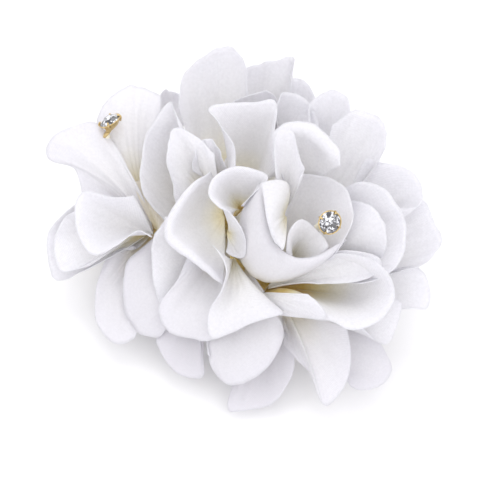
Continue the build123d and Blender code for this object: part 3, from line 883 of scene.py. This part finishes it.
# How far a cup's soldered leg has been bent to one side, and the depths under the stone's girdle
# between which it bends.
LEG_BEND = {"right_flower": Vector((0.0, 0.0, 0.0)), "left_flower": Vector((-3.4, -0.9, -0.6))}
LEG_TOP, LEG_BOTTOM = 1.2, 4.6
PRONG_LINE = ((2.75, -1.2), (3.12, -0.75), (3.38, -0.3), (3.45, 0.1), (3.32, 0.42), (3.02, 0.62),
              (2.7, 0.68))
PRONG_RADIUS = 0.22
PRONG_STEPS = 24
CUP_LINE = [(1.30, -2.6), (1.48, -2.5), (1.62, -2.25), (2.05, -1.7), (2.55, -1.05), (2.98, -0.5),
            (3.30, -0.12), (3.40, 0.02), (3.38, 0.14), (3.26, 0.20), (3.12, 0.16), (3.04, 0.02),
            (2.98, -0.1), (2.50, -0.62), (1.90, -1.25), (1.30, -1.75), (0.70, -2.1), (0.0, -2.2)]
SOLDER_RADIUS = 1.25
SOLDER_HEIGHT = -3.35


def leg_bend(flower, depth):
    return LEG_BEND[flower] * smooth(LEG_TOP, LEG_BOTTOM, depth)


def seat(flower):
    """From the stone's own axes, with Z the way it faces, to the model's."""
    place, faces = STONES[flower]
    return Matrix.Translation(place) @ faces.to_track_quat("Z", "Y").to_matrix().to_4x4()


def brilliant():
    """A round brilliant: table, star, kite and girdle facets above, long facets below."""
    shape = bmesh.new()

    def ring(radius, height, offset):
        made = []
        for step in range(8):
            turn = 2 * math.pi * (step + offset) / 8
            made.append(shape.verts.new((radius * math.cos(turn), radius * math.sin(turn), height)))
        return made

    table = ring(1.62, 1.12, 0.0)
    star = ring(2.28, 0.78, 0.5)
    girdle = []
    for offset in (0.0, 0.5):
        girdle.append(ring(STONE_RADIUS, 0.12, offset))
    below = []
    for offset in (0.0, 0.5):
        below.append(ring(STONE_RADIUS, -0.08, offset))
    keel = ring(0.95, -1.45, 0.0)
    culet = shape.verts.new((0, 0, -2.0))
    shape.faces.new(table)
    for step in range(8):
        after = (step + 1) % 8
        before = (step - 1) % 8
        shape.faces.new((table[step], star[step], table[after]))
        shape.faces.new((table[step], star[before], girdle[0][step], star[step]))
        shape.faces.new((star[step], girdle[0][step], girdle[1][step]))
        shape.faces.new((star[step], girdle[1][step], girdle[0][after]))
        shape.faces.new((girdle[0][step], below[0][step], below[1][step], girdle[1][step]))
        shape.faces.new((girdle[1][step], below[1][step], below[0][after], girdle[0][after]))
        shape.faces.new((below[0][step], keel[step], below[1][step]))
        shape.faces.new((below[1][step], keel[step], keel[after], below[0][after]))
        shape.faces.new((keel[step], culet, keel[after]))
    return shape


def bead_tip(length, _turn):
    """The change of a prong's radius: it swells to a bead and closes at its end."""
    return 0.08 * smooth(1.9, 2.4, length) - 0.2 * smooth(2.5, 2.7, length)


def prong(turn):
    """A bead-tipped claw that rises from the cup's rim and bends over the girdle."""
    out = Vector((math.cos(turn), math.sin(turn), 0))
    path = [out * radius + Vector((0, 0, height)) for radius, height in PRONG_LINE]
    line = [curve_through(path, step / PRONG_STEPS) for step in range(PRONG_STEPS + 1)]
    return swept(line, PRONG_RADIUS, 12, bead_tip)


def solder_bead():
    """The uneven drop of solder between the cup and its stem."""
    drop = [(0, SOLDER_HEIGHT - SOLDER_RADIUS)]
    for degrees in range(10, 150, 10):
        turn = math.radians(degrees)
        radius = SOLDER_RADIUS * math.sin(turn) * (1 + 0.05 * math.sin(degrees))
        drop.append((radius, SOLDER_HEIGHT - SOLDER_RADIUS * math.cos(turn)))
    return turned(drop + [(0, -2.3)], ripple=0.12)


def gold_cup():
    shape = turned(CUP_LINE)
    for number in range(4):
        join(shape, prong(math.radians(45 + 90 * number)))
    join(shape, solder_bead())
    return shape


for flower_name in STONES:
    crystal = to_mesh(brilliant(), f"{flower_name}_crystal")
    crystal.transform(seat(flower_name))
    piece(f"{flower_name}_crystal", crystal, STONE, f"{flower_name}_rhinestone")
    for face in crystal.polygons:
        face.use_smooth = False
    cup = to_mesh(gold_cup(), f"{flower_name}_setting")
    to_seat = seat(flower_name).to_3x3().inverted()
    for corner in cup.vertices:
        corner.co += to_seat @ leg_bend(flower_name, -corner.co.z)
    cup.transform(seat(flower_name))
    piece(f"{flower_name}_setting", cup, GOLD, f"{flower_name}_gold_cup")


# How far a stem's wire bows out between its bend and its cup.
WIRE_BOW = {"right_flower": Vector((0.0, 0.8, -0.8)), "left_flower": Vector((-3.6, 0.8, -0.4))}
WIRE_RADIUS = 1.0
WIRE_STEPS = 90
TAPE_LAP = 2.2
DAB_LINE = [(6.0, 0.0), (6.05, 0.12), (5.6, 0.45), (4.8, 0.85), (3.8, 1.25), (2.8, 1.55), (1.9, 1.75),
            (1.25, 1.95), (1.2, 1.2), (0.0, 1.2)]
DAB_STEPS = 72


def tape_lap(length, turn):
    """The step where each lap of tape covers the last."""
    lap = (length / TAPE_LAP + turn / (2 * math.pi)) % 1.0
    return 0.08 * (1 - lap) - 0.02


def wrapped_wire(flower):
    """A stem: straight out of the glue, then bowed across to its cup if it has one."""
    root, axis = FLOWERS[flower]
    bend = root + axis * STEM_STRAIGHT
    ends = [root + axis * 0.05, root + axis * (STEM_STRAIGHT * 0.5), bend]
    if flower in STONES:
        place, faces = STONES[flower]
        top = place - faces * STONE_ABOVE_STEM + leg_bend(flower, STONE_ABOVE_STEM)
        ends += [bend.lerp(top, 0.5) + WIRE_BOW[flower], top]
    line = [curve_through(ends, step / WIRE_STEPS) for step in range(WIRE_STEPS + 1)]
    return swept(line, WIRE_RADIUS, 20, tape_lap)


def glue_dab(root):
    """A set dab of glue with an uneven top and a flat foot."""
    dab = turned(DAB_LINE, steps=DAB_STEPS, ripple=0.09)
    for corner in dab.verts:
        corner.co.z += 0.12 * noise.noise(corner.co * 0.6 + root) * smooth(0.0, 0.8, corner.co.z)
        corner.co.z = max(corner.co.z, 0.0)
    foot = [corner for corner in dab.verts if corner.co.z == 0][:DAB_STEPS]
    dab.faces.new(foot[::-1])
    return dab


for flower_name, (root, _) in FLOWERS.items():
    wire = to_mesh(wrapped_wire(flower_name), f"{flower_name}_wrapped_wire")
    piece(f"{flower_name}_wrapped_wire", wire, TAPE, f"{flower_name}_stem")
    glue = to_mesh(glue_dab(root), f"{flower_name}_glue_dab")
    glue.transform(Matrix.Translation((root.x, root.y, FELT_TOP)))
    piece(f"{flower_name}_glue_dab", glue, GLUE, f"{flower_name}_glue")


# ---------------------------------------------------------------- felt
FELT_CENTRE = Vector((-5.0, 0.0, 11.0))
FELT_RADIUS = 22.0
FELT_THICKNESS = 1.2
# The felt's cut edge: how far in from the radius, and how high.
FELT_EDGE = ((0.4, 0.06), (0.1, 0.3), (0.0, 0.6), (0.1, 0.9), (0.4, 1.14))


def felt_disc():
    """A die-cut disc of felt with a slightly frayed edge and an uneven face."""
    radii = [FELT_RADIUS * step / 22 for step in range(1, 22)]
    profile = [(0.0, 0.0)] + [(radius, 0.0) for radius in radii]
    profile += [(FELT_RADIUS - inset, height) for inset, height in FELT_EDGE]
    profile += [(radius, FELT_THICKNESS) for radius in reversed(radii)] + [(0.0, FELT_THICKNESS)]
    shape = turned(profile, steps=180)
    for corner in shape.verts:
        rough = noise.noise(corner.co * 0.9) * 0.5 + noise.noise(corner.co * 2.7) * 0.5
        reach = corner.co.xy.length
        edge = smooth(20.5, FELT_RADIUS, reach)
        if reach > 0:
            corner.co.xy *= 1 + edge * 0.010 * (rough + noise.noise(corner.co * 5.3))
        corner.co.z += 0.10 * rough * (1 if corner.co.z < FELT_THICKNESS / 2 else -1)
    return shape


disc = to_mesh(felt_disc(), "felt_disc")
disc.transform(Matrix.Translation(FELT_CENTRE))
piece("felt_disc", disc, FELT, "felt_backing")

# ---------------------------------------------------------------- clip and spring
FINISHES = {
    "clip_upper_plate": CLIP_STEEL,
    "clip_lower_jaw": CLIP_STEEL,
    "clip_hinge_pin": PIN_STEEL,
}
for node, finish in FINISHES.items():
    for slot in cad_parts[node].material_slots:
        slot.material = finish

COIL_RADIUS = 1.45
SPRING_WIRE_RADIUS = 0.3
COIL_TURNS = 5
COIL_PITCH = 2 * SPRING_WIRE_RADIUS * 1.12
STEPS_A_TURN = 40
FOOT_STEPS = 12


def spring_path():
    """One wire: a foot under the plate, the coil round the pin, and a foot on the thumb tab."""
    half = COIL_PITCH * COIL_TURNS / 2
    coil = []
    for step in range(STEPS_A_TURN * COIL_TURNS + 1):
        turn = 2 * math.pi * step / STEPS_A_TURN
        y = half - 2 * half * step / (STEPS_A_TURN * COIL_TURNS)
        coil.append(PIN + Vector((COIL_RADIUS * math.cos(turn), y, -COIL_RADIUS * math.sin(turn))))
    upper = Vector((PIN.x + 5.0, half, 9.85))
    lower = Vector((PIN.x + 6.5, -half, 3.7))
    first = [upper.lerp(coil[0], step / FOOT_STEPS) for step in range(FOOT_STEPS)]
    last = [coil[-1].lerp(lower, step / FOOT_STEPS) for step in range(1, FOOT_STEPS + 1)]
    return first + coil + last, half


path, half_coil = spring_path()
coil_mesh = to_mesh(swept(path, SPRING_WIRE_RADIUS, 12), "clip_torsion_spring")
spring = piece("clip_torsion_spring", coil_mesh, SPRING_STEEL, "clip_spring", body=None)
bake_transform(spring)

# ---------------------------------------------------------------- floor, light and camera
FLOOR_SIZE = 3.0


def studio_floor():
    shape = bmesh.new()
    bmesh.ops.create_grid(shape, x_segments=8, y_segments=8, size=FLOOR_SIZE / 2)
    mesh = to_mesh(shape, "floor")
    mesh.materials.append(floor_material())
    made = bpy.data.objects.new("floor", mesh)
    bpy.context.scene.collection.objects.link(made)


def soft_light(name, place, power, size, colour=(1.0, 1.0, 1.0)):
    lamp = bpy.data.lights.new(name, "AREA")
    lamp.shape = "DISK"
    lamp.energy = power
    lamp.size = size
    lamp.color = colour
    made = bpy.data.objects.new(name, lamp)
    bpy.context.scene.collection.objects.link(made)
    made.location = place
    made.rotation_euler = (Vector((0, 0, 0.02)) - made.location).to_track_quat("-Z", "Y").to_euler()


studio_floor()
soft_light("key", (0.02, 0.28, 0.55), 1.0, 0.5)
soft_light("front", (0.05, -0.40, 0.50), 0.55, 0.6)
soft_light("fill_left", (-0.45, -0.10, 0.42), 0.4, 0.5, (0.97, 0.98, 1.0))
soft_light("fill_right", (0.42, -0.32, 0.30), 0.45, 0.5)
world = bpy.data.worlds.new("studio")
world.use_nodes = True
background = world.node_tree.nodes["Background"]
background.inputs["Color"].default_value = (0.985, 0.975, 1.0, 1.0)
background.inputs["Strength"].default_value = 1.06
bpy.context.scene.world = world
bpy.context.scene.view_settings.view_transform = "Standard"
bpy.context.scene.view_settings.gamma = 1.15

LENS, SENSOR = 135.0, 36.0
view = bpy.data.cameras.new("camera")
view.lens = LENS
view.sensor_width = SENSOR
camera = bpy.data.objects.new("camera", view)
bpy.context.scene.collection.objects.link(camera)
aim = (from_eye(*AIM) + SHIFT) * MM
towards_eye = (from_eye(AIM.x, AIM.y, AIM.z + 1) - from_eye(*AIM)).normalized()
camera.location = aim + towards_eye * (EYE_DISTANCE * MM)
camera.rotation_euler = (-towards_eye).to_track_quat("-Z", "Y").to_euler()
bpy.context.scene.camera = camera
